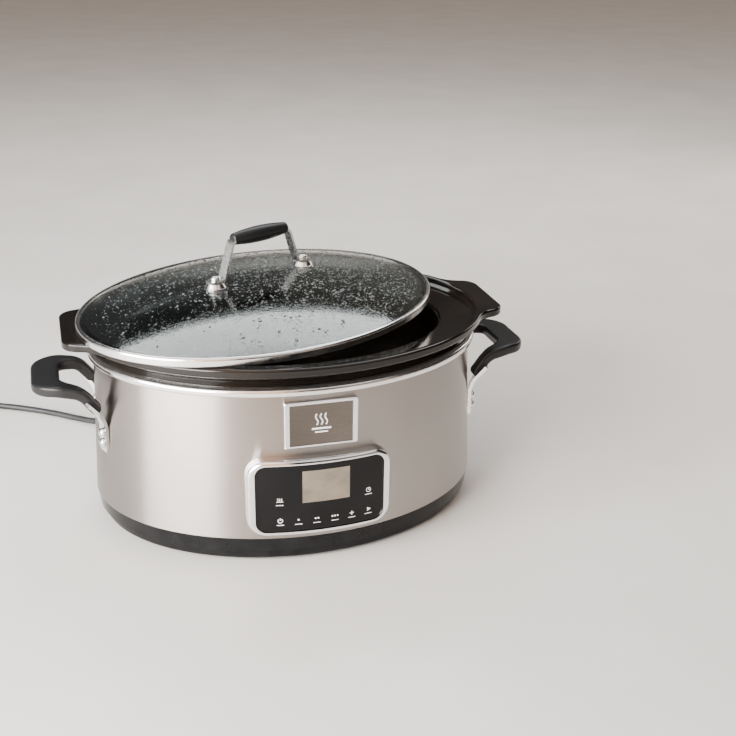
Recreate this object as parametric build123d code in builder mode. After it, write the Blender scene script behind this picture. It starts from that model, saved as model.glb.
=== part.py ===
"""Oval slow cooker: steel housing, lift-out glazed crock, domed glass lid laid askew on the crock's rim.

Millimetres, +Z up. The origin is on the table under the middle of the housing, +X is the cooker's right,
and the control panel faces -Y. An "oval" is an ellipse that stands `grow` outside the steel wall's top.
"""

import os
from math import cos, pi, radians, sin, sqrt, tan

from build123d import *

# Housing: half length and half depth of the steel wall at its top, and the levels of its rings
wall_a = 173.0
wall_b = 131.5
wall_top = 162.0
wall_foot = 26.0
wall_flare = 6.3
sheet = 0.8
lip_top = 163.9
lip_out = 5.5
lip_height = 6.8
lip_hole = -16.0

# Base tray, its four feet, and the four screws that hold the pot's posts
base_floor = 2.2
base_step = 14.0
base_wall = 3.0
label_pad = (90.0, 50.0)
label_pad_corner = 4.0
label_pad_low = 1.2
foot_radius = 9.5
foot_stud = 3.0
foot_spots = [(-112, -72), (112, -72), (-112, 72), (112, 72)]
post_spots = [(0.62 * x, 0.62 * y) for x, y in foot_spots]
post_boss = 8.0

# Heating pot inside the housing
pot_top_grow = -16.5
pot_foot_grow = -25.0
pot_floor = 40.0
band_low = 58.0
band_high = 98.0
wrap_low = 50.0
wrap_high = 150.0
fuse_level = 122.0
fuse_long = 28.0

# Crock
crock_foot = 44.0
crock_seat = 164.2
crock_rim_low = 176.5
crock_rim_top = 184.0
crock_rim_grow = 12.0
crock_body_grow = -21.0
crock_foot_grow = -31.0
recess_grow = 6.0
mouth_grow = -28.0
mouth_level = 172.5
lug_tip = 200.0
lug_half = 46.0
lug_corner = 17.0
lug_blend = 30.0
glaze_round = 1.8

# Lid: its own half length and half depth, and where it lies on the rim
lid_a = 177.0
lid_b = 136.0
lid_turn = 28.0
lid_shift = (-18.0, 20.0)
lid_low = 184.3
lid_rim_height = 7.6
glass = 4.0
glass_edge = 186.0
glass_rise = 24.0

# Lid handle: a bent strap on two cast seats, with a grip moulded round its middle
foot_out = 51.0
strap_seat = 216.0
strap_wide = 9.5
strap_thick = 2.2
strap_end = 7.0
strap_level = 250.8
strap_corner = 31.0
seat_radius = 10.5
seat_neck = 7.5
seat_low = 203.0
seat_flange = 212.6
head_radius = 4.5
head_height = 4.0
lid_grip_mid = 251.9
lid_grip_half = 31.0
lid_grip_ends = 4.9
lid_grip_swell = 2.5

# Control panel on the front
panel_w = 125.0
panel_h = 71.0
panel_mid = 66.9
panel_grow = 13.5
panel_round = 16.0
window_w = 112.5
window_h = 63.0
window_round = 9.5
window_sunk = 1.2
window_thick = 2.6
display_mid = (4.4, panel_mid + 9.6)
display_size = (44.0, 31.0)
board_size = (92.0, 48.0)

# Badge above the panel
badge_mid = (2.0, 130.0)
badge_size = (63.0, 41.5)
badge_border = (4.2, 2.2)
badge_front = wall_b + 3.4
badge_sunk = 0.9

# Side handles
bracket_y = 38.0
bracket_w = 12.0
bracket_t = 3.0
bracket_low = 80.0
bracket_path = [(0.4, bracket_low), (0.15, 105.0), (3.2, 114.5), (15.0, 129.0)]
bolt_levels = (88.0, 97.5)
bolt_hole = 2.3
grip_thick = 10.0
grip_path = [(-176.5, 121.8), (-187.0, 135.5), (-207.0, 139.5), (-233.0, 138.5)]
grip_outline = [(-164, -45), (-206, -41), (-228.5, -32), (-228.5, 32), (-206, 41), (-164, 45)]
grip_opening = [(-160, -33.5), (-183, -32.5), (-204, -22), (-204, 22), (-183, 32.5), (-160, 33.5)]

# Power cord: 3-core round lead
cord_d = 6.5
gland_x = -110.0
gland_level = 36.0
sleeve_long = 28.0
cord_low = cord_d / 2 + 0.1
coil_middle = (-331.0, 243.0)
coil_radius = 36.0
plug_level = 18.8
plug_radius = 18.6
pin_radius = 2.4
pin_apart = 19.0

os.makedirs("parts", exist_ok=True)


def grow_at(level):
    """How far the flared steel wall stands outside its own top edge at this level."""
    return wall_flare * (wall_top - level) / (wall_top - wall_foot)


def wall_y(x, level, grow=0.0):
    """Depth of the housing's rear wall at x; the front wall is the same with a minus sign."""
    a = wall_a + grow_at(level) + grow
    b = wall_b + grow_at(level) + grow
    return b * sqrt(1 - (x / a) ** 2)


def oval(grow, level):
    """A flat oval outline at one level."""
    with BuildSketch(Plane.XY.offset(level)) as outline:
        Ellipse(wall_a + grow, wall_b + grow)
    return outline.sketch


def oval_body(*stations, ruled=True):
    """A solid through ovals given as (grow, level) pairs, from the bottom up."""
    with BuildPart() as body:
        loft([oval(grow, level) for grow, level in stations], ruled=ruled)
    return body.part


def wall_body(grow=0.0):
    """Everything inside the flared steel wall, moved out by `grow`."""
    return oval_body((wall_flare + grow, wall_foot), (grow, wall_top))


def placed_along(plane, level, out):
    """A sketch plane facing out of an upright plane's wall spot, `out` from the wall at one level."""
    return Plane(
        origin=plane.origin + Vector(0, 0, level) + plane.x_dir * out,
        x_dir=(0, 0, 1), z_dir=plane.x_dir,
    )


def finish(part, name):
    """Label a piece and write its STEP."""
    part.label = name
    export_step(part, f"parts/{name}.step")


# ---------------------------------------------------------------- housing
with BuildPart() as outer_housing:
    add(wall_body())
    add(wall_body(-sheet), mode=Mode.SUBTRACT)
    with BuildSketch(Plane.XZ) as panel_window:
        with Locations((0, panel_mid)):
            RectangleRounded(panel_w - 22, panel_h - 20, 6)
    extrude(amount=wall_b + 30, mode=Mode.SUBTRACT)
    gland_spot = (gland_x, wall_y(gland_x, gland_level))
    gland_way = Vector(gland_x / wall_a**2, gland_spot[1] / wall_b**2, 0).normalized()
    gland_plane = Plane(
        origin=(gland_spot[0], gland_spot[1], gland_level), x_dir=(0, 0, 1), z_dir=gland_way
    )
    with BuildSketch(gland_plane.offset(-8)):
        Circle(5.1)
    extrude(amount=16, mode=Mode.SUBTRACT)
    bracket_planes = []
    for side in (-1, 1):
        for end in (-1, 1):
            level = sum(bolt_levels) / 2
            a, b = wall_a + grow_at(level), wall_b + grow_at(level)
            x = side * a * sqrt(1 - (bracket_y / b) ** 2)
            way = Vector(x / a**2, end * bracket_y / b**2, 0).normalized()
            bracket_planes.append(
                Plane(origin=(x, end * bracket_y, 0), x_dir=way, z_dir=(way.Y, -way.X, 0))
            )
    for plane in bracket_planes:
        for level in bolt_levels:
            with BuildSketch(placed_along(plane, level, -8)):
                Circle(bolt_hole)
            extrude(amount=16, mode=Mode.SUBTRACT)
finish(outer_housing.part, "outer_housing")

with BuildPart() as housing_lip:
    add(oval_body((lip_out, lip_top - lip_height), (lip_out, lip_top)))
    fillet(housing_lip.edges().group_by(Axis.Z)[-1], radius=3.0)
    fillet(housing_lip.edges().group_by(Axis.Z)[0], radius=1.5)
    add(oval_body((lip_hole, 150), (lip_hole, 170)), mode=Mode.SUBTRACT)
    add(oval_body((0.45, 150), (0.45, wall_top + 0.1)), mode=Mode.SUBTRACT)
finish(housing_lip.part, "housing_lip")

with BuildPart() as base_tray:
    add(oval_body((-0.5, base_floor), (1.5, base_step)))
    fillet(base_tray.edges().group_by(Axis.Z)[0], radius=3.0)
    add(oval_body((4.4, base_step - 1.5), (5.9, wall_foot - 0.1)))
    add(oval_body((-4.5, base_floor + base_wall), (-2.5, wall_foot + 1)), mode=Mode.SUBTRACT)
    with BuildSketch(Plane.XY.offset(base_floor + base_wall)):
        with Locations(*post_spots):
            Circle(6.0)
    extrude(amount=post_boss)
    # The flat pad that the rating label is stuck to, in the middle of the underside
    with BuildSketch(Plane.XY.offset(label_pad_low)):
        RectangleRounded(*label_pad, radius=label_pad_corner)
    extrude(amount=base_floor + 1 - label_pad_low)
    with Locations(*[(x, y, base_floor) for x, y in post_spots]):
        Cylinder(2.2, 40, mode=Mode.SUBTRACT)
        Cylinder(4.6, 7, mode=Mode.SUBTRACT)
    with Locations(*[(x, y, base_floor) for x, y in foot_spots]):
        Cylinder(foot_stud + 0.1, 20, mode=Mode.SUBTRACT)
finish(base_tray.part, "base_tray")

with BuildPart() as rubber_feet:
    with Locations(*[(x, y, 0) for x, y in foot_spots]):
        Cylinder(foot_radius, base_floor, align=(Align.CENTER, Align.CENTER, Align.MIN))
        Cylinder(foot_stud, base_floor + 6, align=(Align.CENTER, Align.CENTER, Align.MIN))
finish(rubber_feet.part, "rubber_feet")

with BuildPart() as heating_pot:
    add(oval_body((pot_foot_grow, pot_floor), (pot_top_grow, lip_top - 2.0)))
    fillet(heating_pot.edges().group_by(Axis.Z)[0], radius=14)
    with BuildPart(mode=Mode.PRIVATE) as pot_inside:
        add(oval_body((pot_foot_grow - 1, pot_floor + 1), (pot_top_grow - 1, lip_top + 1)))
        fillet(pot_inside.edges().group_by(Axis.Z)[0], radius=13)
    add(pot_inside.part, mode=Mode.SUBTRACT)
finish(heating_pot.part, "heating_pot")


def pot_grow(level):
    """Outside of the heating pot's wall at one level."""
    share = (level - pot_floor) / (lip_top - 2.0 - pot_floor)
    return pot_foot_grow + share * (pot_top_grow - pot_foot_grow)


def sleeve(low, high, inside, thick):
    """A tapered oval band around the heating pot, `inside` clear of it."""
    outer = oval_body((pot_grow(low) + inside + thick, low), (pot_grow(high) + inside + thick, high))
    inner = oval_body((pot_grow(low - 1) + inside, low - 1), (pot_grow(high + 1) + inside, high + 1))
    return outer, inner


for name, low, high, inside, thick in (
    ("heater_band", band_low, band_high, 0.3, 2.2),
    ("insulation_wrap", wrap_low, wrap_high, 3.0, 5.0),
):
    outer, inner = sleeve(low, high, inside, thick)
    with BuildPart() as band:
        add(outer)
        add(inner, mode=Mode.SUBTRACT)
        if high > fuse_level:
            with Locations((wall_a + pot_grow(fuse_level) + 2, 0, fuse_level)):
                Box(9, 12, fuse_long + 6, mode=Mode.SUBTRACT)
    finish(band.part, name)

post_low = base_floor + base_wall + post_boss + 0.2
with BuildPart() as pot_posts:
    with BuildSketch(Plane.XY.offset(post_low)):
        with Locations(*post_spots):
            Circle(5.0)
            Circle(2.2, mode=Mode.SUBTRACT)
    extrude(amount=pot_floor - 0.2 - post_low)
finish(pot_posts.part, "pot_posts")

with BuildPart() as base_screws:
    with Locations(*[(x, y, base_floor + 0.6) for x, y in post_spots]):
        Cylinder(4.2, 2.6, align=(Align.CENTER, Align.CENTER, Align.MIN))
        Cylinder(1.9, 24, align=(Align.CENTER, Align.CENTER, Align.MIN))
finish(base_screws.part, "base_screws")

with BuildPart() as temperature_sensor:
    with Locations((0, 0, pot_floor - 0.2)):
        Cylinder(11, 4, align=(Align.CENTER, Align.CENTER, Align.MAX))
    with Locations((0, 0, pot_floor - 4.2)):
        Cylinder(5, 16, align=(Align.CENTER, Align.CENTER, Align.MAX))
finish(temperature_sensor.part, "temperature_sensor")

with BuildPart() as power_board:
    with Locations((-62, 0, 14)):
        Box(54, 78, 1.6)
finish(power_board.part, "power_board")

with BuildPart() as power_relay:
    with Locations((-70, -18, 14.8)):
        Box(20, 16, 15, align=(Align.CENTER, Align.CENTER, Align.MIN))
finish(power_relay.part, "power_relay")

with BuildPart() as transformer:
    with Locations((-62, 20, 14.8)):
        Box(28, 24, 20, align=(Align.CENTER, Align.CENTER, Align.MIN))
finish(transformer.part, "transformer")

with BuildPart() as thermal_fuse:
    with BuildSketch(Plane.YZ.offset(wall_a + pot_grow(fuse_level + fuse_long / 2) + 0.2)):
        with Locations((0, fuse_level)):
            SlotOverall(fuse_long, 7, rotation=90)
    extrude(amount=2.2)
finish(thermal_fuse.part, "thermal_fuse")


# ---------------------------------------------------------------- control panel and badge
def panel_prism(width, height, corner):
    """A rounded bar along Y through the front of the cooker, as wide and high as a panel opening."""
    with BuildPart() as bar:
        with BuildSketch(Plane.XZ.offset(80)):
            with Locations((0, panel_mid)):
                RectangleRounded(width, height, corner)
        extrude(amount=100)
    return bar.part


with BuildPart() as control_bezel:
    add(panel_prism(panel_w, panel_h, panel_round))
    add(oval_body((panel_grow, 10), (panel_grow, 140)), mode=Mode.INTERSECT)
    front = [e for e in control_bezel.edges() if e.center().Y < -wall_b * 0.9]
    fillet([e for e in front if e.length > 20 or abs(e.center().X) > 45], radius=3.6)
    add(panel_prism(window_w, window_h, window_round), mode=Mode.SUBTRACT)
    add(wall_body(0.1), mode=Mode.SUBTRACT)
finish(control_bezel.part, "control_bezel")

with BuildPart() as control_window:
    add(panel_prism(window_w - 0.2, window_h - 0.2, window_round - 0.1))
    face_grow = panel_grow - window_sunk
    back_grow = face_grow - window_thick
    add(oval_body((face_grow, 10), (face_grow, 140)), mode=Mode.INTERSECT)
    add(oval_body((back_grow, 10), (back_grow, 140)), mode=Mode.SUBTRACT)
finish(control_window.part, "control_window")

with BuildPart() as display:
    with BuildSketch(Plane.XZ.offset(wall_b + 1.0)):
        with Locations(display_mid):
            Rectangle(*display_size)
    extrude(amount=5.0)
finish(display.part, "display")

with BuildPart() as control_board:
    with BuildSketch(Plane.XZ.offset(wall_b - 2.0)):
        with Locations((0, panel_mid)):
            Rectangle(*board_size)
    extrude(amount=1.6)
finish(control_board.part, "control_board")

with BuildPart() as badge_plate:
    with BuildSketch(Plane.XZ.offset(badge_front - 10)):
        with Locations(badge_mid):
            RectangleRounded(*badge_size, 1.2)
    extrude(amount=10)
    chamfer(badge_plate.faces().sort_by(Axis.Y)[0].edges(), length=0.8)
    with BuildSketch(Plane.XZ.offset(badge_front - badge_sunk)):
        with Locations(badge_mid):
            RectangleRounded(*[size - 2 * edge for size, edge in zip(badge_size, badge_border)], 0.8)
    extrude(amount=3, mode=Mode.SUBTRACT)
    add(wall_body(0.05), mode=Mode.SUBTRACT)
finish(badge_plate.part, "badge_plate")


# ---------------------------------------------------------------- side handles
def upright(plane, points, radii, thick, width):
    """A strip of steel bent in an upright plane: `points` are (out, level), bent at each inner point."""
    section = Plane(origin=plane.origin, x_dir=plane.x_dir, z_dir=plane.z_dir)
    with BuildPart() as strip:
        with BuildSketch(section.offset(-width / 2)):
            with BuildLine():
                FilletPolyline(*points, radius=radii)
                offset(amount=thick, side=Side.RIGHT, closed=True)
            make_face()
        extrude(amount=width)
    return strip.part


with BuildPart() as grip_blank:
    with BuildSketch(Plane.XY.offset(100)):
        with BuildLine():
            FilletPolyline(*grip_outline, radius=(40, 24, 24, 40))
            Line(grip_outline[-1], grip_outline[0])
        make_face()
        with BuildLine():
            FilletPolyline(*grip_opening, radius=(10, 12, 12, 10))
            Line(grip_opening[-1], grip_opening[0])
        make_face(mode=Mode.SUBTRACT)
    extrude(amount=60)
    with BuildSketch(Plane.XZ.offset(-70)):
        with BuildLine():
            FilletPolyline(*grip_path, radius=(18, 50))
            offset(amount=grip_thick / 2, side=Side.BOTH, closed=True)
        make_face()
    extrude(amount=140, mode=Mode.INTERSECT)
    fillet(grip_blank.edges(), radius=3.0)

for side, name in ((-1, "left"), (1, "right")):
    legs = []
    for plane in bracket_planes:
        if plane.origin.X * side < 0:
            continue
        with BuildPart() as leg:
            add(upright(plane, bracket_path, (10, 14), bracket_t, bracket_w))
            for level in bolt_levels:
                with BuildSketch(placed_along(plane, level, -4)):
                    Circle(bolt_hole)
                extrude(amount=12, mode=Mode.SUBTRACT)
            add(wall_body(0.1), mode=Mode.SUBTRACT)
        legs.append(leg.part)
    with BuildPart() as brackets:
        add(legs)
    finish(brackets.part, f"{name}_handle_brackets")
    with BuildPart() as grip:
        add(grip_blank.part if side < 0 else grip_blank.part.mirror(Plane.YZ))
        add(legs, mode=Mode.SUBTRACT)
    finish(grip.part, f"{name}_handle_grip")

with BuildPart() as handle_bolts:
    for plane in bracket_planes:
        for level in bolt_levels:
            seat = bracket_t + 0.55
            with BuildSketch(placed_along(plane, level, seat)):
                Circle(4.0)
            extrude(amount=2.4)
            with BuildSketch(placed_along(plane, level, -7)):
                Circle(2.0)
            extrude(amount=7 + seat)
finish(handle_bolts.part, "handle_bolts")

with BuildPart() as handle_nuts:
    for plane in bracket_planes:
        for level in bolt_levels:
            with BuildSketch(placed_along(plane, level, -5)):
                RegularPolygon(3.9, 6)
                Circle(2.05, mode=Mode.SUBTRACT)
            extrude(amount=3.0)
finish(handle_nuts.part, "handle_nuts")

# ---------------------------------------------------------------- crock
with BuildPart() as crock_rim:
    with BuildSketch(Plane.XY.offset(crock_rim_low)):
        Ellipse(wall_a + crock_rim_grow, wall_b + crock_rim_grow)
        RectangleRounded(2 * lug_tip, 2 * lug_half, lug_corner)
    extrude(amount=crock_rim_top - crock_rim_low)
    lug_inner = lug_tip - lug_corner - 1
    joins = [e for e in crock_rim.edges().filter_by(Axis.Z) if 140 < abs(e.center().X) < lug_inner]
    fillet(joins, radius=lug_blend)
    fillet(crock_rim.faces().sort_by(Axis.Z)[-1].edges(), radius=glaze_round)
    fillet(crock_rim.faces().sort_by(Axis.Z)[0].edges(), radius=glaze_round)

with BuildPart() as crock_inside:
    add(oval_body((crock_foot_grow - 7, crock_foot + 8), (mouth_grow, mouth_level + 1)))
    fillet(crock_inside.edges().group_by(Axis.Z)[0], radius=18)

with BuildPart() as crock:
    add(oval_body((crock_foot_grow, crock_foot), (crock_body_grow, crock_seat + 1)))
    fillet(crock.edges().group_by(Axis.Z)[0], radius=20)
    add(oval_body((-3.0, crock_seat), (-1.5, 168.0), (3.0, 172.0), (8.0, 175.0),
                  (crock_rim_grow - 2.5, crock_rim_low + 1.0), ruled=False))
    add(crock_rim.part)
    add(crock_inside.part, mode=Mode.SUBTRACT)
    add(oval_body((mouth_grow - 0.5, mouth_level - 2.0), (mouth_grow + 0.7, mouth_level - 0.6),
                  (mouth_grow + 2.5, mouth_level + 0.4), (recess_grow - 3, 176.5), (recess_grow, 178.5),
                  (recess_grow, crock_rim_top - 1.6), (recess_grow + 0.5, crock_rim_top - 0.6),
                  (recess_grow + 1.6, crock_rim_top + 0.05), (recess_grow + 1.6, crock_rim_top + 1)),
        mode=Mode.SUBTRACT)
finish(crock.part, "crock")

# ---------------------------------------------------------------- lid
lid_plane = Plane(
    origin=(lid_shift[0], lid_shift[1], 0),
    x_dir=(cos(radians(lid_turn)), sin(radians(lid_turn)), 0),
    z_dir=(0, 0, 1),
)


def lid_disc(grow, low, high):
    """An oval plate in the lid's own place, `grow` outside the lid's edge."""
    with BuildPart() as disc:
        with BuildSketch(lid_plane.offset(low)):
            Ellipse(lid_a + grow, lid_b + grow)
        extrude(amount=high - low)
    return disc.part


def dome(depth, low, rise):
    """A domed oval cap in the lid's place: a round cap of radius `depth`, drawn out in length."""
    radius = (depth**2 + rise**2) / (2 * rise)
    half = depth / 2
    with BuildPart() as cap:
        with BuildSketch(Plane.XZ):
            with BuildLine():
                crown = low + rise
                shoulder = crown - radius + sqrt(radius**2 - half**2)
                ThreePointArc((0, crown), (half, shoulder), (depth, low))
                Polyline((depth, low), (depth, low - 3), (0, low - 3), (0, crown))
            make_face()
        revolve(axis=Axis.Z)
    return lid_plane.location * scale(cap.part, by=((lid_a - 1.3) / (lid_b - 1.3), 1, 1))


dome_top = dome(lid_b - 1.3, glass_edge + glass, glass_rise)
dome_under = dome(lid_b - 5.3, glass_edge, glass_rise)
screw_spots = [(-foot_out, 0), (foot_out, 0)]

with BuildPart() as lid_glass:
    add(dome_top)
    add(lid_disc(5, glass_edge - 9, glass_edge), mode=Mode.SUBTRACT)
    add(dome_under, mode=Mode.SUBTRACT)
    with BuildSketch(lid_plane.offset(180)):
        with Locations(*screw_spots):
            Circle(3.0)
    extrude(amount=60, mode=Mode.SUBTRACT)
finish(lid_glass.part, "lid_glass")

with BuildPart() as lid_rim:
    add(lid_disc(0, lid_low, lid_low + lid_rim_height))
    fillet(lid_rim.edges().group_by(Axis.Z)[-1], radius=2.2)
    fillet(lid_rim.edges().group_by(Axis.Z)[0], radius=0.9)
    add(lid_disc(-5.5, lid_low - 1, glass_edge), mode=Mode.SUBTRACT)
    add(lid_disc(-1.1, glass_edge - 0.2, glass_edge + glass + 0.9), mode=Mode.SUBTRACT)
    add(lid_disc(-3.2, glass_edge, lid_low + 20), mode=Mode.SUBTRACT)
finish(lid_rim.part, "lid_rim")

lid_upright = Plane(
    origin=(lid_shift[0], lid_shift[1], 0), x_dir=lid_plane.x_dir, z_dir=lid_plane.y_dir * -1
)
strap_path = [
    (-foot_out - strap_end, strap_seat), (-foot_out + 8.5, strap_seat), (-strap_corner, strap_level),
    (strap_corner, strap_level), (foot_out - 8.5, strap_seat), (foot_out + strap_end, strap_seat),
]
with BuildPart() as lid_handle_strap:
    with BuildSketch(lid_upright.offset(-strap_wide / 2)):
        with BuildLine():
            FilletPolyline(*strap_path, radius=(4, 6, 6, 4))
            offset(amount=strap_thick, side=Side.LEFT, closed=True)
        make_face()
    extrude(amount=strap_wide)
    with BuildSketch(lid_plane.offset(strap_seat - 1)):
        with Locations(*screw_spots):
            Circle(2.4)
    extrude(amount=5, mode=Mode.SUBTRACT)
finish(lid_handle_strap.part, "lid_handle_strap")

with BuildPart() as lid_handle_grip:
    with BuildSketch(lid_upright):
        with BuildLine():
            ends_level = lid_grip_mid + lid_grip_ends
            swell = (0, ends_level + lid_grip_swell)
            ThreePointArc((-lid_grip_half, ends_level), swell, (lid_grip_half, ends_level))
            Polyline((lid_grip_half, ends_level), (lid_grip_half, lid_grip_mid),
                     (-lid_grip_half, lid_grip_mid), (-lid_grip_half, ends_level))
        make_face()
    revolve(axis=Axis(lid_upright.from_local_coords(Vector(0, lid_grip_mid, 0)), lid_plane.x_dir))
    fillet(lid_handle_grip.edges(), radius=2.0)
    add(lid_handle_strap.part, mode=Mode.SUBTRACT)
finish(lid_handle_grip.part, "lid_handle_grip")

with BuildPart() as lid_handle_seats:
    for spot in screw_spots:
        with BuildSketch(lid_plane.offset(seat_low)):
            with Locations(spot):
                Circle(seat_radius)
        extrude(amount=seat_flange - seat_low)
        with BuildSketch(lid_plane.offset(seat_flange)):
            with Locations(spot):
                Circle(seat_radius - 1)
        with BuildSketch(lid_plane.offset(strap_seat)):
            with Locations(spot):
                Circle(seat_neck)
        loft()
    with BuildSketch(lid_plane.offset(seat_low)):
        with Locations(*screw_spots):
            Circle(2.4)
    extrude(amount=strap_seat - seat_low, mode=Mode.SUBTRACT)
    add(dome_top, mode=Mode.SUBTRACT)
finish(lid_handle_seats.part, "lid_handle_seats")

with BuildPart() as lid_handle_nuts:
    with BuildSketch(lid_plane.offset(200)):
        with Locations(*screw_spots):
            Circle(6.5)
            Circle(2.35, mode=Mode.SUBTRACT)
    extrude(amount=20)
    add(dome_under, mode=Mode.INTERSECT)
finish(lid_handle_nuts.part, "lid_handle_nuts")

with BuildPart() as lid_handle_screws:
    for spot in screw_spots:
        with BuildSketch(lid_plane.offset(strap_seat + strap_thick)):
            with Locations(spot):
                Circle(head_radius)
        extrude(amount=head_height)
        with BuildSketch(lid_plane.offset(201)):
            with Locations(spot):
                Circle(2.25)
        extrude(amount=strap_seat + strap_thick - 201)
    heads = lid_handle_screws.faces().group_by(Axis.Z)[-1]
    fillet(heads.edges(), radius=2.6)
finish(lid_handle_screws.part, "lid_handle_screws")

# ---------------------------------------------------------------- power cord
with BuildPart() as cord_gland:
    with BuildSketch(gland_plane.offset(-4)):
        Circle(4.9)
    extrude(amount=6)
    with BuildSketch(gland_plane.offset(-6)):
        Circle(7.0)
    extrude(amount=2)
    with BuildSketch(gland_plane.offset(1.6)):
        Circle(7.5)
    extrude(amount=3)
    with BuildSketch(gland_plane.offset(4.6)):
        Circle(5.6)
    with BuildSketch(gland_plane.offset(sleeve_long)):
        Circle(4.2)
    loft()
    with BuildSketch(gland_plane.offset(-8)):
        Circle(cord_d / 2)
    extrude(amount=sleeve_long + 12, mode=Mode.SUBTRACT)
finish(cord_gland.part, "cord_gland")

gland_end = gland_plane.origin + gland_way * (sleeve_long - 12)
cord_points = [
    (gland_end.X, gland_end.Y, gland_level),
    (-133, 147, 35.0),
    (-144, 160.5, 27.0),
    (-156.5, 172, 13.5),
    (-170, 184.5, 5.4),
    (-190, 204, cord_low),
    (-219, 228, cord_low),
    (-252, 248.5, cord_low),
    (-287, 266, cord_low),
    (-312, 276.5, cord_low),
]


def corner_radii(points, share=0.45):
    """The arc at each inner point: `share` of the shorter run, over the tangent of half the turn."""
    radii = []
    for before, here, after in zip(points, points[1:], points[2:]):
        arrive = Vector(here) - Vector(before)
        leave = Vector(after) - Vector(here)
        turn = radians(arrive.get_angle(leave))
        radii.append(share * min(arrive.length, leave.length) / tan(turn / 2))
    return radii


radii = corner_radii(cord_points)
print("cord radii", [round(r) for r in radii])
with BuildPart() as power_cord:
    with BuildLine() as cord_line:
        FilletPolyline(*cord_points, radius=radii)
    with BuildSketch(Plane(origin=cord_line.line @ 0, z_dir=cord_line.line % 0)):
        Circle(cord_d / 2)
    sweep()
cord_length = sum(edge.length for edge in cord_line.edges())
print("cord tube", round(cord_length, 1), "volume share",
      round(power_cord.part.volume / (pi * cord_d**2 / 4 * cord_length), 4))
finish(power_cord.part, "power_cord")

# The put-away length: a flat-lying ring of turns, two side by side and the rest on top of them
with BuildPart() as cord_coil:
    with BuildSketch(Plane.XY.offset(0.1)):
        with Locations(coil_middle):
            Circle(coil_radius + cord_d)
            Circle(coil_radius - cord_d, mode=Mode.SUBTRACT)
    extrude(amount=1.9 * cord_d)
    fillet(cord_coil.edges().group_by(Axis.Z)[-1], radius=4.5)
    fillet(cord_coil.edges().group_by(Axis.Z)[0], radius=2.5)
finish(cord_coil.part, "cord_coil")

# Where the lead leaves the ring's left side, on its way to the plug
tail_x = coil_middle[0] - coil_radius
boot_start = (tail_x - 4.0, coil_middle[1] - 56.0)
tail_points = [
    (tail_x, coil_middle[1], 9.3),
    (tail_x - 0.3, coil_middle[1] - 14.5, 10.3),
    (tail_x - 1.2, coil_middle[1] - 29.0, 14.3),
    (tail_x - 2.8, coil_middle[1] - 43.0, 18.0),
    (*boot_start, plug_level),
]
radii = corner_radii(tail_points)
print("tail radii", [round(r) for r in radii])
with BuildPart() as cord_tail:
    with BuildLine() as tail_line:
        FilletPolyline(*tail_points, radius=radii)
    with BuildSketch(Plane(origin=tail_line.line @ 0, z_dir=tail_line.line % 0)):
        Circle(cord_d / 2)
    sweep()
tail_length = sum(edge.length for edge in tail_line.edges())
print("tail tube", round(tail_length, 1), "volume share",
      round(cord_tail.part.volume / (pi * cord_d**2 / 4 * tail_length), 4))
finish(cord_tail.part, "cord_tail")

# Round earthed plug lying on its side, its pins pointing -Y
plug_plane = Plane(origin=(*boot_start, plug_level), x_dir=(1, 0, 0), z_dir=(0, -1, 0))
with BuildPart() as plug_body:
    with BuildSketch(plug_plane):
        Circle(4.4)
    with BuildSketch(plug_plane.offset(24)):
        Circle(6.8)
    loft()
    with BuildSketch(plug_plane.offset(24)):
        Circle(9.5)
    with BuildSketch(plug_plane.offset(38)):
        Circle(16.5)
    loft()
    with BuildSketch(plug_plane.offset(38)):
        Circle(plug_radius)
    extrude(amount=15)
finish(plug_body.part, "plug_body")

with BuildPart() as plug_pins:
    with BuildSketch(plug_plane.offset(53)):
        with Locations((-pin_apart / 2, 0), (pin_apart / 2, 0)):
            Circle(pin_radius)
    extrude(amount=19)
    fillet(plug_pins.faces().sort_by(Axis.Y)[0:2].edges(), radius=1.6)
finish(plug_pins.part, "plug_pins")
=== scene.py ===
import random
from math import cos, pi, radians, sin, sqrt

import bmesh
import bpy
from mathutils import Matrix, Vector


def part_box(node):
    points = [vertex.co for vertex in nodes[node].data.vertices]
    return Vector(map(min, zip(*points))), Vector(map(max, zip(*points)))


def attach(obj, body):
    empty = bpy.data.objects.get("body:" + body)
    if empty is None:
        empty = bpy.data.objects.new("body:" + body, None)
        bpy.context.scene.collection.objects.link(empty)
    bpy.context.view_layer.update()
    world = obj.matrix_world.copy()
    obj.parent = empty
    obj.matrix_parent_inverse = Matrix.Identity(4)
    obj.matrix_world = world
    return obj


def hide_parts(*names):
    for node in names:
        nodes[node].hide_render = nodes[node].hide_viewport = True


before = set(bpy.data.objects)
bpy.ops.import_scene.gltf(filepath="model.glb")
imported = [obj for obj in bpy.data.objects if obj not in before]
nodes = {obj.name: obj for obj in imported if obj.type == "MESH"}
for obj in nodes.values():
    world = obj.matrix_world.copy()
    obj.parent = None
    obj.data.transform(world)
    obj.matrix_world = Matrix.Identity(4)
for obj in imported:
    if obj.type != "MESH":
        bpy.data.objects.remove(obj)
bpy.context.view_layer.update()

# ---- Camera, floor and studio lights.
# A pale table top under big soft lights: a key from the left, a softbox high behind and a weak fill.
camera_at = Vector((-0.20093, -0.96627, 0.53519))
camera_right = Vector((0.96166263, -0.27384316, 0.01465996))
camera_up = Vector((0.0918635, 0.37204679, 0.92365702))
camera_back = camera_right.cross(camera_up)
turn = Matrix((camera_right, camera_up, camera_back)).transposed().to_4x4()
lens_per_width = 1138 / 736

camera = bpy.data.objects.new("camera", bpy.data.cameras.new("camera"))
camera.data.sensor_width = 36
camera.data.lens = lens_per_width * 36
camera.matrix_world = Matrix.Translation(camera_at) @ turn
camera.data.clip_end = 50
bpy.context.scene.collection.objects.link(camera)
bpy.context.scene.camera = camera


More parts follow.
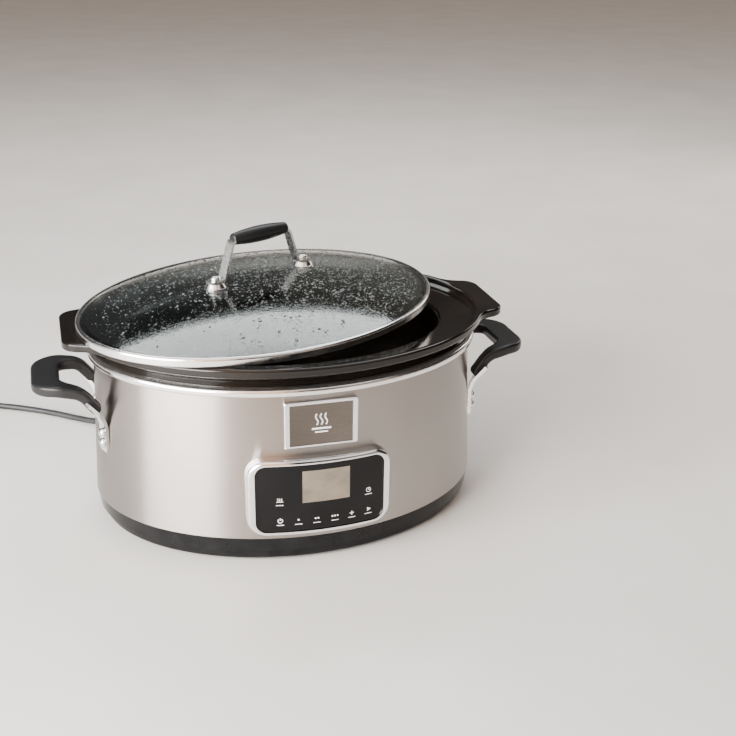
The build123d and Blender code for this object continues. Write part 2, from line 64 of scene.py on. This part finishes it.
def softbox(name, at, aim, size, power, tint):
    """A rectangular studio light at a place, aimed at a point."""
    lamp = bpy.data.lights.new(name, "AREA")
    lamp.shape = "RECTANGLE"
    lamp.size, lamp.size_y = size
    lamp.energy = power
    lamp.color = tint
    holder = bpy.data.objects.new(name, lamp)
    way = Vector(aim) - Vector(at)
    holder.matrix_world = Matrix.Translation(at) @ way.to_track_quat("-Z", "Y").to_matrix().to_4x4()
    bpy.context.scene.collection.objects.link(holder)
    return holder


softbox("key_light", (-1.16, -0.74, 0.55), (-0.05, 0, 0.10), (1.15, 1.0), 104, (1.0, 0.985, 0.965))
softbox("back_softbox", (0.34, 1.0, 1.5), (0.34, 1.0, 0), (1.76, 0.74), 27, (0.97, 0.985, 1.0))
softbox("overhead_light", (-0.3, -1.4, 4.0), (-0.3, -1.4, 0), (7.0, 5.6), 125, (1.0, 0.99, 0.975))
softbox("rim_light", (1.5, 0.9, 0.7), (0, 0, 0.1), (0.5, 0.9), 5, (1.0, 0.9, 0.8))

# The room round the table, by compass bearing: pale, tan and dark upright bands for the steel to reflect.
world = bpy.data.worlds.new("studio")
bpy.context.scene.world = world
world.use_nodes = True
sky = world.node_tree
bearing = sky.nodes.new("ShaderNodeTexGradient")
bearing.gradient_type = "RADIAL"
room = sky.nodes.new("ShaderNodeValToRGB")
bands = [(0.0, (0.13, 0.11, 0.09)), (0.04, (0.45, 0.43, 0.41)), (0.15, (0.55, 0.47, 0.38)),
         (0.17, (0.95, 0.55, 0.33)), (0.243, (0.80, 0.50, 0.33)), (0.252, (0.01, 0.01, 0.01)),
         (0.285, (0.08, 0.065, 0.058)), (0.37, (0.22, 0.175, 0.155)), (0.42, (0.02, 0.016, 0.013)),
         (0.60, (0.015, 0.013, 0.012)), (0.64, (0.10, 0.09, 0.08)), (0.75, (0.03, 0.03, 0.032)),
         (0.92, (0.04, 0.04, 0.04)), (1.0, (0.13, 0.11, 0.09))]
for index, (place, colour) in enumerate(bands):
    stops = room.color_ramp.elements
    stop = stops[0] if index == 0 else stops.new(place)
    stop.position = place
    stop.color = (*colour, 1)
stops.remove(stops[-1])
compass = sky.nodes.new("ShaderNodeTexCoord")
sky.links.new(compass.outputs["Generated"], bearing.inputs["Vector"])
sky.links.new(bearing.outputs["Fac"], room.inputs["Fac"])
sky.links.new(room.outputs["Color"], sky.nodes["Background"].inputs["Color"])
sky.nodes["Background"].inputs["Strength"].default_value = 2.0


def blank_material(name):
    """A new material with its node tree and its one surface shader."""
    material = bpy.data.materials.new(name)
    material.use_nodes = True
    return material, material.node_tree, material.node_tree.nodes["Principled BSDF"]


def noise_on(tree, stretch, detail=3.0, turn=(0, 0, 0)):
    """Noise over Object coordinates, stretched by cycles per metre along X, Y and Z."""
    place = tree.nodes.new("ShaderNodeTexCoord")
    mapping = tree.nodes.new("ShaderNodeMapping")
    mapping.inputs["Scale"].default_value = stretch
    mapping.inputs["Rotation"].default_value = turn
    noise = tree.nodes.new("ShaderNodeTexNoise")
    noise.inputs["Scale"].default_value = 1.0
    noise.inputs["Detail"].default_value = detail
    tree.links.new(place.outputs["Object"], mapping.inputs["Vector"])
    tree.links.new(mapping.outputs["Vector"], noise.inputs["Vector"])
    return noise.outputs["Fac"]


def spread_to(tree, value, low, high, target):
    """Maps a 0.3 to 0.7 noise onto a range and links it to a socket."""
    band = tree.nodes.new("ShaderNodeMapRange")
    band.inputs["From Min"].default_value = 0.3
    band.inputs["From Max"].default_value = 0.7
    band.inputs["To Min"].default_value = low
    band.inputs["To Max"].default_value = high
    tree.links.new(value, band.inputs["Value"])
    tree.links.new(band.outputs["Result"], target)
    return band.outputs["Result"]


def mix_colours(tree, value, one, other, target):
    """Goes from one colour to the other by a 0.3 to 0.7 noise and links it to a socket."""
    ramp = tree.nodes.new("ShaderNodeValToRGB")
    ramp.color_ramp.elements[0].position = 0.3
    ramp.color_ramp.elements[0].color = (*one, 1)
    ramp.color_ramp.elements[1].position = 0.7
    ramp.color_ramp.elements[1].color = (*other, 1)
    tree.links.new(value, ramp.inputs["Fac"])
    tree.links.new(ramp.outputs["Color"], target)
    return ramp.outputs["Color"]


def bump_with(tree, shader, value, depth, strength=1.0):
    """Fine relief of a depth in metres on a shader."""
    bump = tree.nodes.new("ShaderNodeBump")
    bump.inputs["Distance"].default_value = depth
    bump.inputs["Strength"].default_value = strength
    tree.links.new(value, bump.inputs["Height"])
    tree.links.new(bump.outputs["Normal"], shader.inputs["Normal"])


floor_paint, tree, shader = blank_material("pale_table_top")
mix_colours(tree, noise_on(tree, (6, 6, 6)), (0.62, 0.60, 0.57), (0.68, 0.66, 0.63),
            shader.inputs["Base Color"])
shader.inputs["Roughness"].default_value = 0.55
bpy.ops.mesh.primitive_plane_add(size=30)
floor = bpy.context.object
floor.name = "table_top"
floor.data.materials.append(floor_paint)


# ---- Power cord.
# A round three-core lead in a black rubbery sheath. It falls from its sleeve to the table, runs off to the
# left, and its spare length lies in a neat ring of turns beside the plug.
cord_width = 0.0065
rest_level = cord_width / 2 + 0.0001
gland_low, gland_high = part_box("cord_gland")
coil_low, coil_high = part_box("cord_coil")
coil_centre = (coil_low + coil_high) / 2
coil_radius = (coil_high.x - coil_low.x) / 2 - cord_width
plug_low, plug_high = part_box("plug_body")
plug_level = (plug_low.z + plug_high.z) / 2
plug_x = (plug_low.x + plug_high.x) / 2

wall_low, wall_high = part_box("outer_housing")
wall_flare = 0.0063


def wall_halves(level):
    """Half length and half depth of the steel wall at one level."""
    grow = wall_flare * (wall_high.z - level) / (wall_high.z - wall_low.z)
    return wall_high.x - wall_flare + grow, wall_high.y - wall_flare + grow


gland_level = (gland_low.z + gland_high.z) / 2
a, b = wall_halves(gland_level)
gland_x = -0.110
gland_y = b * sqrt(1 - (gland_x / a) ** 2)
gland_way = Vector((gland_x / a**2, gland_y / b**2, 0)).normalized()
gland_spot = Vector((gland_x, gland_y, gland_level))
sleeve_length = 0.028
cord_exit = gland_spot + gland_way * (sleeve_length - 0.001)

route = [
    tuple(cord_exit),
    (-0.1330, 0.1470, 0.0350),
    (-0.1440, 0.1605, 0.0270),
    (-0.1565, 0.1720, 0.0135),
    (-0.1700, 0.1845, 0.0054),
    (-0.1900, 0.2040, rest_level),
    (-0.2190, 0.2280, rest_level),
    (-0.2520, 0.2485, rest_level),
    (-0.2870, 0.2660, rest_level),
]
start_angle = radians(60)
whole_turns = 3.33
per_turn = 14
steps = round(whole_turns * per_turn)
outer_ring, inner_ring, upper_ring = coil_radius + cord_width / 2, coil_radius - cord_width / 2, coil_radius
for step in range(steps + 1):
    done = step / per_turn
    angle = start_angle + whole_turns * 2 * pi * step / steps
    inward = min(max((done - 0.80) / 0.22, 0), 1)
    upward = min(max((done - 1.78) / 0.25, 0), 1)
    radius = outer_ring + (inner_ring - outer_ring) * inward + (upper_ring - inner_ring) * upward
    level = rest_level + cord_width * 0.87 * upward
    route.append((coil_centre.x + radius * cos(angle), coil_centre.y + radius * sin(angle), level))
tail_x = coil_centre.x - coil_radius
route += [
    (tail_x - 0.0003, coil_centre.y - 0.0145, 0.0103),
    (tail_x - 0.0012, coil_centre.y - 0.0290, 0.0143),
    (tail_x - 0.0028, coil_centre.y - 0.0430, 0.0180),
    (plug_x, plug_high.y - 0.001, plug_level),
]

sheath, tree, shader = blank_material("cord_sheath")
mix_colours(tree, noise_on(tree, (90, 90, 90)), (0.012, 0.012, 0.014), (0.026, 0.026, 0.029),
            shader.inputs["Base Color"])
spread_to(tree, noise_on(tree, (400, 400, 400)), 0.34, 0.48, shader.inputs["Roughness"])
bump_with(tree, shader, noise_on(tree, (1500, 1500, 1500)), 0.0001, 0.3)

lead = bpy.data.curves.new("cord", "CURVE")
lead.dimensions = "3D"
lead.bevel_depth = cord_width / 2
lead.bevel_resolution = 5
lead.use_fill_caps = True
lead.resolution_u = 6
line = lead.splines.new("NURBS")
line.points.add(len(route) - 1)
for point, place in zip(line.points, route):
    point.co = (*place, 1)
line.order_u = 3
line.use_endpoint_u = True
lead.materials.append(sheath)
cord = bpy.data.objects.new("cord", lead)
bpy.context.scene.collection.objects.link(cord)
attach(cord, "housing")
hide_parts("power_cord", "cord_coil", "cord_tail")


# ---- Strain relief.
# A soft tapered sleeve with grip rings, pushed into the rear wall behind a round collar.
def collected(bm, name, material, body, sharp=35):
    """Makes an object of a bmesh, with its place in its mesh, and lets it ride on a body."""
    bmesh.ops.remove_doubles(bm, verts=bm.verts, dist=1e-6)
    bmesh.ops.recalc_face_normals(bm, faces=bm.faces)
    mesh = bpy.data.meshes.new(name)
    bm.to_mesh(mesh)
    bm.free()
    mesh.materials.append(material)
    mesh.shade_smooth()
    mesh.set_sharp_from_angle(angle=radians(sharp))
    piece = bpy.data.objects.new(name, mesh)
    bpy.context.scene.collection.objects.link(piece)
    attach(piece, body)
    return piece


def facing(spot, way):
    """The place of a turned piece whose own axis Z is to point along a direction."""
    return Matrix.Translation(spot) @ Vector(way).to_track_quat("Z", "Y").to_matrix().to_4x4()


def turned(bm, profile, place, steps=32):
    """Adds a piece turned about its axis: the profile is (radius, along) points from axis to axis."""
    verts = [bm.verts.new((radius, 0, along)) for radius, along in profile]
    edges = [bm.edges.new(pair) for pair in zip(verts, verts[1:])]
    made = bmesh.ops.spin(bm, geom=verts + edges, cent=(0, 0, 0), axis=(0, 0, 1),
                          angle=2 * pi, steps=steps, use_merge=True, use_duplicate=False)
    fresh = {v for g in made["geom_last"] for v in (g.verts if hasattr(g, "verts") else [g])}
    island = set(fresh) | set(verts)
    waiting = list(island)
    while waiting:
        for edge in waiting.pop().link_edges:
            for vert in edge.verts:
                if vert not in island:
                    island.add(vert)
                    waiting.append(vert)
    island = [v for v in island if v.is_valid]
    bmesh.ops.transform(bm, matrix=place, verts=island)
    return island


relief = bmesh.new()
rings = [(0.0, -0.0055), (0.0069, -0.0055), (0.0069, -0.004), (0.0048, -0.004), (0.0048, 0.0016),
         (0.0070, 0.0016), (0.0074, 0.0022), (0.0074, 0.0040), (0.0068, 0.0046)]
ring_count = 6
for ring in range(ring_count):
    along = 0.0062 + ring * 0.0034
    radius = 0.0056 - 0.00019 * ring
    rings += [(radius - 0.0009, along), (radius, along + 0.0007), (radius, along + 0.0018),
              (radius - 0.0009, along + 0.0025)]
rings += [(0.0040, sleeve_length - 0.0007), (0.0036, sleeve_length), (0.0, sleeve_length)]
turned(relief, rings, facing(gland_spot, gland_way))
strain_relief = collected(relief, "strain_relief", sheath, "housing")
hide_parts("cord_gland")


# ---- Brushed steel housing.
# One stainless sheet rolled to an oval, brushed round its girth and welded shut at the back.
def dress(name, material):
    """Gives a CAD node a material."""
    for place in nodes[name].material_slots:
        place.material = material


steel, tree, shader = blank_material("brushed_steel")
# The warm tint in the steel's colour turns the pale floor seen in the steel tan: a painted warm reflection.
mix_colours(tree, noise_on(tree, (5, 5, 3)), (0.34, 0.31, 0.29), (0.42, 0.39, 0.365),
            shader.inputs["Base Color"])
shader.inputs["Metallic"].default_value = 1.0
grain = noise_on(tree, (16, 16, 2400), 4)
spread_to(tree, grain, 0.29, 0.37, shader.inputs["Roughness"])
shader.inputs["Anisotropic"].default_value = 0.92
shader.inputs["Anisotropic Rotation"].default_value = 0.25
tangent = tree.nodes.new("ShaderNodeTangent")
tangent.direction_type = "RADIAL"
tangent.axis = "Z"
tree.links.new(tangent.outputs["Tangent"], shader.inputs["Tangent"])
bump_with(tree, shader, grain, 0.00002, 0.2)
dress("outer_housing", steel)


# The sheet's two ends overlap in one welded lap down the back.
def on_oval(x, level, grow, back=False):
    """A point that stands `grow` outside the steel wall, on its front or on its back."""
    a, b = wall_halves(level)
    y = (b + grow) * sqrt(1 - (x / (a + grow)) ** 2)
    return Vector((x, y if back else -y, level))


def wrapped(bm, grow, back=False):
    """Bends flat work, drawn in X and Z with its thickness along -Y, round the oval wall."""
    for vert in bm.verts:
        x, out, level = vert.co
        vert.co = on_oval(x, level, grow - out, back)


def thickened(bm, faces, way):
    """Makes a closed plate of flat faces, its thickness along a direction."""
    raised = bmesh.ops.extrude_face_region(bm, geom=faces, use_keep_orig=True)
    bmesh.ops.translate(bm, verts=[g for g in raised["geom"] if isinstance(g, bmesh.types.BMVert)], vec=way)


def flat_plate(bm, low, high, thick, columns=16):
    """Adds a plate between two (x, level) corners, in columns so that it can be bent."""
    wide, tall = high[0] - low[0], high[1] - low[1]
    place = Matrix.Translation(((low[0] + high[0]) / 2, 0, (low[1] + high[1]) / 2))
    place = place @ Matrix.Rotation(pi / 2, 4, "X") @ Matrix.Diagonal((wide, tall, 1, 1))
    sheet = bmesh.ops.create_grid(bm, x_segments=columns, y_segments=1, size=0.5, matrix=place)
    faces = {face for vert in sheet["verts"] for face in vert.link_faces}
    thickened(bm, list(faces), (0, -thick, 0))


seam = bmesh.new()
flat_plate(seam, (-0.004, wall_low.z + 0.0005), (0.004, 0.1565), 0.0005, 4)
wrapped(seam, 0.00002, back=True)
collected(seam, "wall_seam", steel, "housing")

# ---- Rolled lip.
# A bright polished steel ring that caps the sheet's raw edge and carries the crock.
polished, tree, shader = blank_material("polished_steel")
mix_colours(tree, noise_on(tree, (30, 30, 30)), (0.86, 0.85, 0.83), (0.93, 0.92, 0.91),
            shader.inputs["Base Color"])
shader.inputs["Metallic"].default_value = 1.0
spread_to(tree, noise_on(tree, (120, 120, 300)), 0.14, 0.24, shader.inputs["Roughness"])
dress("housing_lip", polished)
dress("lid_rim", polished)

# ---- Base tray and feet.
# Black moulded plastic in two tiers, the upper one glossy, on four soft rubber feet.
moulded, tree, shader = blank_material("moulded_base")
mix_colours(tree, noise_on(tree, (60, 60, 60)), (0.004, 0.004, 0.0045), (0.009, 0.009, 0.010),
            shader.inputs["Base Color"])
shader.inputs["Specular IOR Level"].default_value = 0.16
spread_to(tree, noise_on(tree, (250, 250, 250)), 0.12, 0.2, shader.inputs["Roughness"])
bump_with(tree, shader, noise_on(tree, (700, 700, 700)), 0.00004, 0.15)
dress("base_tray", moulded)

# A blank foil label, stuck to the flat pad in the middle of the underside.
foil, tree, shader = blank_material("label_foil")
mix_colours(tree, noise_on(tree, (40, 900, 40)), (0.50, 0.50, 0.50), (0.60, 0.60, 0.60),
            shader.inputs["Base Color"])
shader.inputs["Metallic"].default_value = 0.9
spread_to(tree, noise_on(tree, (60, 1500, 60)), 0.35, 0.5, shader.inputs["Roughness"])
label = bmesh.new()
pad_level = 0.0012
sheet = bmesh.ops.create_grid(label, x_segments=1, y_segments=1, size=0.5,
                              matrix=Matrix.Translation((0, 0, pad_level - 0.00002))
                              @ Matrix.Diagonal((0.084, 0.044, 1, 1)))
bmesh.ops.bevel(label, geom=sheet["verts"], offset=0.003, segments=5, profile=0.5, material=-1,
                affect="VERTICES")
thickened(label, label.faces[:], (0, 0, -0.0001))
collected(label, "rating_label", foil, "housing")

rubber, tree, shader = blank_material("foot_rubber")
mix_colours(tree, noise_on(tree, (300, 300, 300)), (0.02, 0.02, 0.02), (0.035, 0.035, 0.035),
            shader.inputs["Base Color"])
spread_to(tree, noise_on(tree, (600, 600, 600)), 0.6, 0.8, shader.inputs["Roughness"])
bump_with(tree, shader, noise_on(tree, (1800, 1800, 1800)), 0.0001, 0.5)
dress("rubber_feet", rubber)

# ---- Works inside the housing.
# Aluminised pot, woven heater wrap, glass-fibre blanket, boards and screws, all hidden in use.
def plain_finish(name, one, other, metallic, rough, grain_size, relief_depth, specular=0.5):
    """A material whose colour, roughness and relief all vary a little with one grain."""
    material, tree, shader = blank_material(name)
    size = (grain_size, grain_size, grain_size)
    mix_colours(tree, noise_on(tree, size), one, other, shader.inputs["Base Color"])
    shader.inputs["Metallic"].default_value = metallic
    shader.inputs["Specular IOR Level"].default_value = specular
    spread_to(tree, noise_on(tree, size, 5), rough * 0.85, rough * 1.15, shader.inputs["Roughness"])
    bump_with(tree, shader, noise_on(tree, tuple(3 * s for s in size)), relief_depth, 0.4)
    return material


sheet_metal = plain_finish("aluminised_sheet", (0.60, 0.61, 0.62), (0.70, 0.71, 0.72), 1, 0.35, 60, 0.00005)
for name in ("heating_pot", "pot_posts", "temperature_sensor", "thermal_fuse"):
    dress(name, sheet_metal)
dress("heater_band", plain_finish("woven_wrap", (0.62, 0.50, 0.28), (0.74, 0.62, 0.38), 0, 0.85, 400, 0.0004))
blanket = plain_finish("glass_blanket", (0.78, 0.77, 0.72), (0.88, 0.87, 0.83), 0, 0.95, 120, 0.001)
dress("insulation_wrap", blanket)
board_green = plain_finish("board_lacquer", (0.015, 0.14, 0.05), (0.03, 0.20, 0.08), 0, 0.3, 200, 0.00005)
for name in ("power_board", "control_board"):
    dress(name, board_green)
dress("power_relay", plain_finish("relay_case", (0.03, 0.08, 0.25), (0.05, 0.11, 0.30), 0, 0.45, 150, 0.0001))
varnish = plain_finish("varnished_core", (0.16, 0.12, 0.08), (0.24, 0.19, 0.13), 0.3, 0.5, 300, 0.0003)
dress("transformer", varnish)
dress("display", plain_finish("display_case", (0.02, 0.02, 0.02), (0.04, 0.04, 0.04), 0, 0.3, 100, 0.00005))
fastener = plain_finish("fastener_steel", (0.76, 0.76, 0.75), (0.86, 0.86, 0.85), 1, 0.2, 150, 0.00003)
for name in ("base_screws", "handle_nuts", "lid_handle_nuts", "lid_handle_screws"):
    dress(name, fastener)

# ---- Control panel.
# A mirror-plated frame round a gloss-black touch window that follows the oval front.
plating = plain_finish("mirror_plating", (0.84, 0.84, 0.85), (0.92, 0.92, 0.93), 1, 0.07, 40, 0.00001)
dress("control_bezel", plating)
window_black = plain_finish("window_black", (0.002, 0.002, 0.0022), (0.004, 0.004, 0.0045), 0, 0.03, 30,
                            0.000005, 0.22)
dress("control_window", window_black)

window_low, window_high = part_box("control_window")
window_mid = (window_low.z + window_high.z) / 2


def on_window(bm, rise):
    """Bends flat work, drawn in X and Z with its thickness along -Y, round the window's upright face."""
    b = -window_low.y + rise
    a = b + wall_high.x - wall_high.y
    for vert in bm.verts:
        x, out, level = vert.co
        vert.co = Vector((x, -(b - out) * sqrt(1 - (x / (a - out)) ** 2), level))


# The display's clear pane: a rectangle let into the black print. Its streaky amber colour is a painted
# reflection of warm surroundings.
pane_reflection_paint, tree, shader = blank_material("pane_painted_reflection")
mix_colours(tree, noise_on(tree, (35, 35, 60)), (0.10, 0.088, 0.072), (0.20, 0.165, 0.12),
            shader.inputs["Base Color"])
spread_to(tree, noise_on(tree, (90, 90, 90)), 0.06, 0.12, shader.inputs["Roughness"])
pane = bmesh.new()
flat_plate(pane, (-0.0166, window_mid - 0.0047), (0.0246, window_mid + 0.0250), 0.00006, 12)
on_window(pane, 0.00001)
collected(pane, "display_pane", pane_reflection_paint, "housing")

# Touch-key marks: small pale pictograms printed on the window, each over its own short bar.
mark_paint = plain_finish("mark_paint", (0.70, 0.71, 0.72), (0.82, 0.83, 0.84), 0, 0.45, 800, 0.00001)
marks = bmesh.new()
print_thick = 0.00005


def bar(bm, x, level, wide, tall, lean=0.0):
    """Adds a thin upright bar of print, leaning by an angle."""
    bmesh.ops.create_cube(bm, size=1.0, matrix=Matrix.Translation((x, -print_thick / 2, level))
                          @ Matrix.Rotation(lean, 4, "Y") @ Matrix.Diagonal((wide, print_thick, tall, 1)))


def disc(bm, x, level, radius, sides=20, lean=0.0):
    """Adds a thin disc of print, or a triangle where it has three sides."""
    bmesh.ops.create_cone(bm, cap_ends=True, segments=sides, radius1=radius, radius2=radius,
                          depth=print_thick, matrix=Matrix.Translation((x, -print_thick / 2, level))
                          @ Matrix.Rotation(lean, 4, "Y") @ Matrix.Rotation(pi / 2, 4, "X"))


def ring(bm, x, level, radius, wide, open_part=0.0, sides=28):
    """Adds a thin ring of print as short bars end to end, with an open part at its top."""
    for side in range(sides):
        angle = 2 * pi * side / sides
        if min(angle, 2 * pi - angle) < open_part / 2:
            continue
        bar(bm, x + radius * sin(angle), level + radius * cos(angle),
            2 * pi * radius / sides * 1.06, wide, angle)


# Six keys stand in the bottom row, one above its left end and one above its right end.
label_drop = 0.0042
bar_thick = 0.0006
key_row = window_mid - 0.0206
upper_row = window_mid - 0.0014
power_x, low_x, medium_x, high_x, plus_x, timer_x = -0.0356, -0.0201, -0.0043, 0.0115, 0.0267, 0.0420
warm_x = -0.0358
for x in (power_x, low_x, medium_x, high_x, plus_x):
    bar(marks, x, key_row - label_drop, 0.0062, bar_thick)
for level in (upper_row, key_row + 0.0004):
    bar(marks, timer_x, level - label_drop, 0.0066, bar_thick)
bar(marks, warm_x, upper_row - label_drop, 0.0062, bar_thick)
ring(marks, power_x, key_row, 0.0019, bar_thick, open_part=1.1)
bar(marks, power_x, key_row + 0.0014, bar_thick, 0.0024)
for dots, x in ((1, low_x), (2, medium_x), (3, high_x)):
    for dot in range(dots):
        disc(marks, x + (dot - (dots - 1) / 2) * 0.0023, key_row, 0.0008)
bar(marks, plus_x, key_row, 0.0038, 0.0007)
bar(marks, plus_x, key_row, 0.0007, 0.0038)
ring(marks, timer_x, upper_row, 0.0020, 0.0005)
bar(marks, timer_x, window_mid - 0.0006, 0.0005, 0.0018)
bar(marks, 0.0426, upper_row, 0.0014, 0.0005)
disc(marks, timer_x, key_row + 0.0004, 0.0022, 3, pi / 2)
for stroke in (-1, 0, 1):
    bar(marks, warm_x + stroke * 0.0016, window_mid - 0.0004, bar_thick, 0.0024)
bar(marks, warm_x, window_mid - 0.0024, 0.0054, bar_thick)
on_window(marks, 0.00001)
collected(marks, "key_marks", mark_paint, "housing")

# ---- Badge.
# A flat satin plate in a bright plated frame, stuck to the curved wall above the panel.
dress("badge_plate", plating)
badge_low, badge_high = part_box("badge_plate")
badge_mid = (badge_low + badge_high) / 2
badge_edge = Vector((0.0042, 0, 0.0022))
badge_sunk = 0.0009
satin, tree, shader = blank_material("satin_bronze")
mix_colours(tree, noise_on(tree, (9, 9, 9)), (0.105, 0.090, 0.079), (0.165, 0.143, 0.127),
            shader.inputs["Base Color"])
shader.inputs["Metallic"].default_value = 1.0
fine = noise_on(tree, (20, 20, 3000), 4)
spread_to(tree, fine, 0.22, 0.36, shader.inputs["Roughness"])
bump_with(tree, shader, fine, 0.00001, 0.2)
field = bmesh.new()
flat_plate(field, (badge_low.x + badge_edge.x + 0.0002, badge_low.z + badge_edge.z + 0.0002),
           (badge_high.x - badge_edge.x - 0.0002, badge_high.z - badge_edge.z - 0.0002), 0.0003, 1)
bmesh.ops.translate(field, verts=field.verts, vec=(0, badge_low.y + badge_sunk - 0.00002, 0))
collected(field, "badge_field", satin, "housing")

emblem = bmesh.new()
for stroke in (-1, 0, 1):
    slices = 10
    for part in range(slices):
        share = (part + 0.5) / slices
        lean = 0.55 * cos(2 * pi * share)
        bar(emblem, badge_mid.x + stroke * 0.0040 + 0.0009 * sin(2 * pi * share),
            badge_mid.z - 0.0008 + 0.0100 * share, 0.0012, 0.0013, lean)
bar(emblem, badge_mid.x, badge_mid.z - 0.0042, 0.0165, 0.0016)
bar(emblem, badge_mid.x, badge_mid.z - 0.0074, 0.0110, 0.0012)
bmesh.ops.translate(emblem, verts=emblem.verts, vec=(0, badge_low.y + badge_sunk - 0.00034, 0))
collected(emblem, "badge_emblem", mark_paint, "housing")

# ---- Side handles.
# Bent polished steel legs, each bolted twice to the wall, in a satin black moulded loop.
grip_black = plain_finish("satin_moulding", (0.007, 0.007, 0.0075), (0.012, 0.012, 0.013), 0, 0.34, 500,
                          0.00006, 0.28)
for side in ("left", "right"):
    dress(f"{side}_handle_brackets", plating)
    dress(f"{side}_handle_grip", grip_black)

# Their bolts: domed round heads on plain shanks.
bolt_y = 0.038
bolt_levels = (0.0880, 0.0975)
bolt_seat = 0.00355
bolts = bmesh.new()
dome = [(0.0, -0.0105), (0.0020, -0.0105), (0.0020, 0.0), (0.0041, 0.0), (0.0043, 0.0003)]
dome += [(0.0043 * cos(radians(t)), 0.0006 + 0.0026 * sin(radians(t))) for t in (0, 20, 40, 58, 74)]
dome += [(0.0, 0.0032)]
a, b = wall_halves(sum(bolt_levels) / 2)
for side in (-1, 1):
    for end in (-1, 1):
        x = side * a * sqrt(1 - (bolt_y / b) ** 2)
        way = Vector((x / a**2, end * bolt_y / b**2, 0)).normalized()
        for level in bolt_levels:
            turned(bolts, dome, facing(Vector((x, end * bolt_y, level)) + way * bolt_seat, way), 24)
handle_bolts = collected(bolts, "handle_bolt_heads", fastener, "housing")
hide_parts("handle_bolts")

# ---- Crock.
# Thick stoneware under a black glossy glaze. Its colour drifts at random towards a warm brown, which is a
# painted brown reflection.
glaze, tree, shader = blank_material("black_glaze")
mix_colours(tree, noise_on(tree, (14, 14, 14)), (0.0035, 0.003, 0.0027), (0.010, 0.0075, 0.0055),
            shader.inputs["Base Color"])
spread_to(tree, noise_on(tree, (40, 40, 40)), 0.05, 0.11, shader.inputs["Roughness"])
shader.inputs["Specular IOR Level"].default_value = 0.30
shader.inputs["Coat Weight"].default_value = 0.10
shader.inputs["Coat Roughness"].default_value = 0.03
bump_with(tree, shader, noise_on(tree, (55, 55, 55), 1), 0.0002, 0.10)
dress("crock", glaze)

# ---- Lid glass.
# Tempered glass pressed to a low dome, a little misted where the steam meets it.
clear, tree, shader = blank_material("lid_glass")
shader.inputs["Base Color"].default_value = (0.90, 0.96, 0.95, 1)
shader.inputs["Transmission Weight"].default_value = 1.0
shader.inputs["IOR"].default_value = 1.48
spread_to(tree, noise_on(tree, (30, 30, 30), 5), 0.01, 0.06, shader.inputs["Roughness"])
bump_with(tree, shader, noise_on(tree, (520, 520, 520), 2), 0.00015, 0.28)
dress("lid_glass", clear)

# Droplets that have gathered under the glass, thickest over the middle and the far side, and a few on top.
lid_turn = radians(28)
lid_centre = Vector((-0.018, 0.020, 0))
under_rise, under_top = 0.024, 0.210
lid_stretch = 0.1757 / 0.1347
chance = random.Random(7)


def droplets_on(name, clear_share, count, depth, crown, offset, least, spread, left_share):
    """Scatters flat beads of water over a dome of the lid, sparser towards its left end."""
    water, tree, shader = blank_material(name)
    # Where a bead is less than fully clear, its pale colour makes it show as a bright speck. This is partly
    # the white of mist and partly a painted glint.
    mix_colours(tree, noise_on(tree, (300, 300, 300)), (0.70, 0.76, 0.75), (0.92, 0.96, 0.95),
                shader.inputs["Base Color"])
    shader.inputs["Transmission Weight"].default_value = clear_share
    shader.inputs["IOR"].default_value = 1.33
    spread_to(tree, noise_on(tree, (500, 500, 500)), 0.01, 0.06, shader.inputs["Roughness"])
    curve = (depth**2 + under_rise**2) / (2 * under_rise)
    drops = bmesh.new()
    batch_size = 145
    for batch in range(count // batch_size):
        few = bmesh.new()
        placed = 0
        while placed < batch_size:
            u = chance.uniform(-0.163, 0.163)
            v = chance.uniform(-0.125, 0.125)
            mist = left_share + (1 - left_share) * min(max((u + 0.11) / 0.14, 0), 1)
            if (u / 0.163) ** 2 + (v / 0.125) ** 2 > 1 or chance.random() > mist:
                continue
            size = least + spread * chance.random() ** 3
            level = crown - curve + sqrt(curve**2 - (u / lid_stretch) ** 2 - v**2)
            spot = lid_centre + Matrix.Rotation(lid_turn, 3, "Z") @ Vector((u, v, level + offset))
            bmesh.ops.create_icosphere(few, subdivisions=1, radius=1.0, matrix=Matrix.Translation(spot)
                                       @ Matrix.Diagonal((size, size, size * 0.55, 1)))
            placed += 1
        part = bpy.data.meshes.new("few_droplets")
        few.to_mesh(part)
        few.free()
        drops.from_mesh(part)
        bpy.data.meshes.remove(part)
    return collected(drops, name, water, "lid_body", sharp=180)


droplets_on("inner_droplets", 0.45, 5075, 0.1307, under_top, -0.00005, 0.00032, 0.0008, 0.18)
droplets_on("outer_droplets", 1.0, 1160, 0.1347, 0.214, 0.00003, 0.0006, 0.0011, 0.6)

# ---- Lid handle.
# A bent polished strap on two cast seats, screwed through the glass, with a satin black grip.
strap_steel = plain_finish("satin_strap", (0.80, 0.79, 0.78), (0.90, 0.89, 0.88), 1, 0.27, 300, 0.00002)
dress("lid_handle_strap", strap_steel)
dress("lid_handle_seats", polished)
dress("lid_handle_grip", grip_black)

# ---- Plug.
# A round black moulding with a tapered neck that grips the cord, and two plated round pins set in its face.
plug_black = plain_finish("plug_moulding", (0.014, 0.014, 0.015), (0.026, 0.026, 0.028), 0, 0.42, 400, 0.0001)
dress("plug_body", plug_black)
dress("plug_pins", plain_finish("plated_pins", (0.72, 0.70, 0.64), (0.80, 0.78, 0.72), 1, 0.25, 200, 0.00003))
